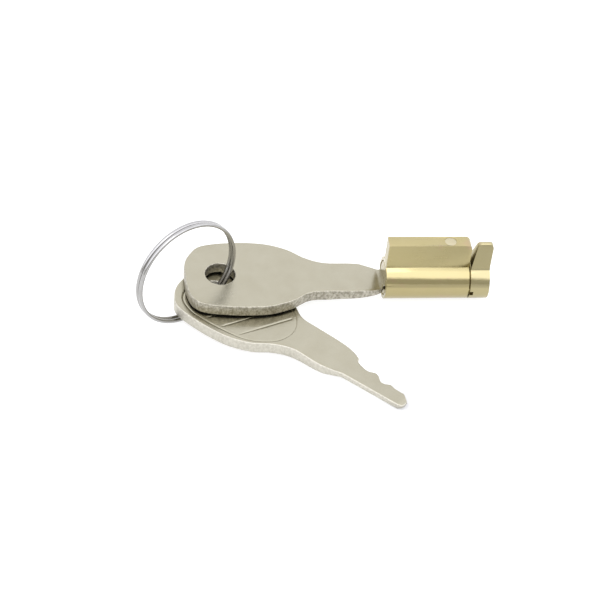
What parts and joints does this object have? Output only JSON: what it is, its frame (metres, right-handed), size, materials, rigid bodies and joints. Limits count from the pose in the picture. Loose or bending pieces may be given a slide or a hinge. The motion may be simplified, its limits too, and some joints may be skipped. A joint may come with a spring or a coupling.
{
  "type": "cam lock",
  "caption": "Small ribbed barrel cam lock with a key-turned wafer plug and rear cam, a key in place, a spare key and a split ring.",
  "frame": {"origin": "on the barrel's axis at the housing's front face, where the key goes in", "axes": "+X along the barrel's axis from the key to the cam, +Z through the top of the guide rib"},
  "size_m": [0.0619, 0.0363, 0.0198],
  "materials": {
    "barrel_brass": "machined, satin, tumbled edges",
    "plug_brass": "machined, satin",
    "cam_brass": "machined, satin, rounded edges",
    "pin_brass": "drawn wire, cut and filed flush",
    "wafer_brass": "stamped",
    "screw_steel": "plain",
    "spring_steel": "drawn wire",
    "key_nickel": "nickel plate over brass, tumbled and slightly worn",
    "ring_steel": "bright nickel plated wire"
  },
  "bodies": {
    "housing": {"housing": "barrel_brass", "retaining_pin": "pin_brass"},
    "plug": {"plug": "plug_brass", "cam": "cam_brass", "cam_screw": "screw_steel", "wafer_spring_1": "spring_steel", "wafer_spring_2": "spring_steel", "wafer_spring_3": "spring_steel", "wafer_spring_4": "spring_steel", "wafer_spring_5": "spring_steel", "wafer_spring_6": "spring_steel"},
    "wafer_1": {"wafer_1": "wafer_brass"},
    "wafer_2": {"wafer_2": "wafer_brass"},
    "wafer_3": {"wafer_3": "wafer_brass"},
    "wafer_4": {"wafer_4": "wafer_brass"},
    "wafer_5": {"wafer_5": "wafer_brass"},
    "wafer_6": {"wafer_6": "wafer_brass"},
    "key": {"key": "key_nickel"},
    "split_ring": {"split_ring": "ring_steel"},
    "spare_key": {"spare_key": "key_nickel"}
  },
  "joints": [
    {"name": "plug_turn", "type": "hinge", "parent": "housing", "child": "plug", "pos_m": [0, 0, 0], "axis": [1, 0, 0], "range_deg": [0, 180]},
    {"name": "key_slide", "type": "slide", "parent": "plug", "child": "key", "axis": [-1, 0, 0], "range_m": [0, 0.016]},
    {"name": "ring_swing", "type": "hinge", "parent": "key", "child": "split_ring", "pos_m": [-0.02825, 0.00055, -0.00055], "axis": [0, 0, 1], "range_deg": [-45, 10]},
    {"name": "spare_key_swing", "type": "hinge", "parent": "split_ring", "child": "spare_key", "pos_m": [-0.02916, -0.00122, -0.00302], "axis": [0, 0, 1], "range_deg": [-35, 16]},
    {"name": "wafer_1_lift", "type": "slide", "parent": "plug", "child": "wafer_1", "axis": [0, -1, 0], "range_m": [0, 0.00025], "stiffness_N_per_m": 150, "springref_m": -0.0005, "deforming": ["wafer_spring_1"]},
    {"name": "wafer_2_lift", "type": "slide", "parent": "plug", "child": "wafer_2", "axis": [0, -1, 0], "range_m": [0, 0.00025], "stiffness_N_per_m": 150, "springref_m": -0.0005, "deforming": ["wafer_spring_2"]},
    {"name": "wafer_3_lift", "type": "slide", "parent": "plug", "child": "wafer_3", "axis": [0, -1, 0], "range_m": [0, 0.00025], "stiffness_N_per_m": 150, "springref_m": -0.0005, "deforming": ["wafer_spring_3"]},
    {"name": "wafer_4_lift", "type": "slide", "parent": "plug", "child": "wafer_4", "axis": [0, -1, 0], "range_m": [0, 0.00025], "stiffness_N_per_m": 150, "springref_m": -0.0005, "deforming": ["wafer_spring_4"]},
    {"name": "wafer_5_lift", "type": "slide", "parent": "plug", "child": "wafer_5", "axis": [0, -1, 0], "range_m": [0, 0.00025], "stiffness_N_per_m": 150, "springref_m": -0.0005, "deforming": ["wafer_spring_5"]},
    {"name": "wafer_6_lift", "type": "slide", "parent": "plug", "child": "wafer_6", "axis": [0, -1, 0], "range_m": [0, 0.00025], "stiffness_N_per_m": 150, "springref_m": -0.0005, "deforming": ["wafer_spring_6"]}
  ]
}
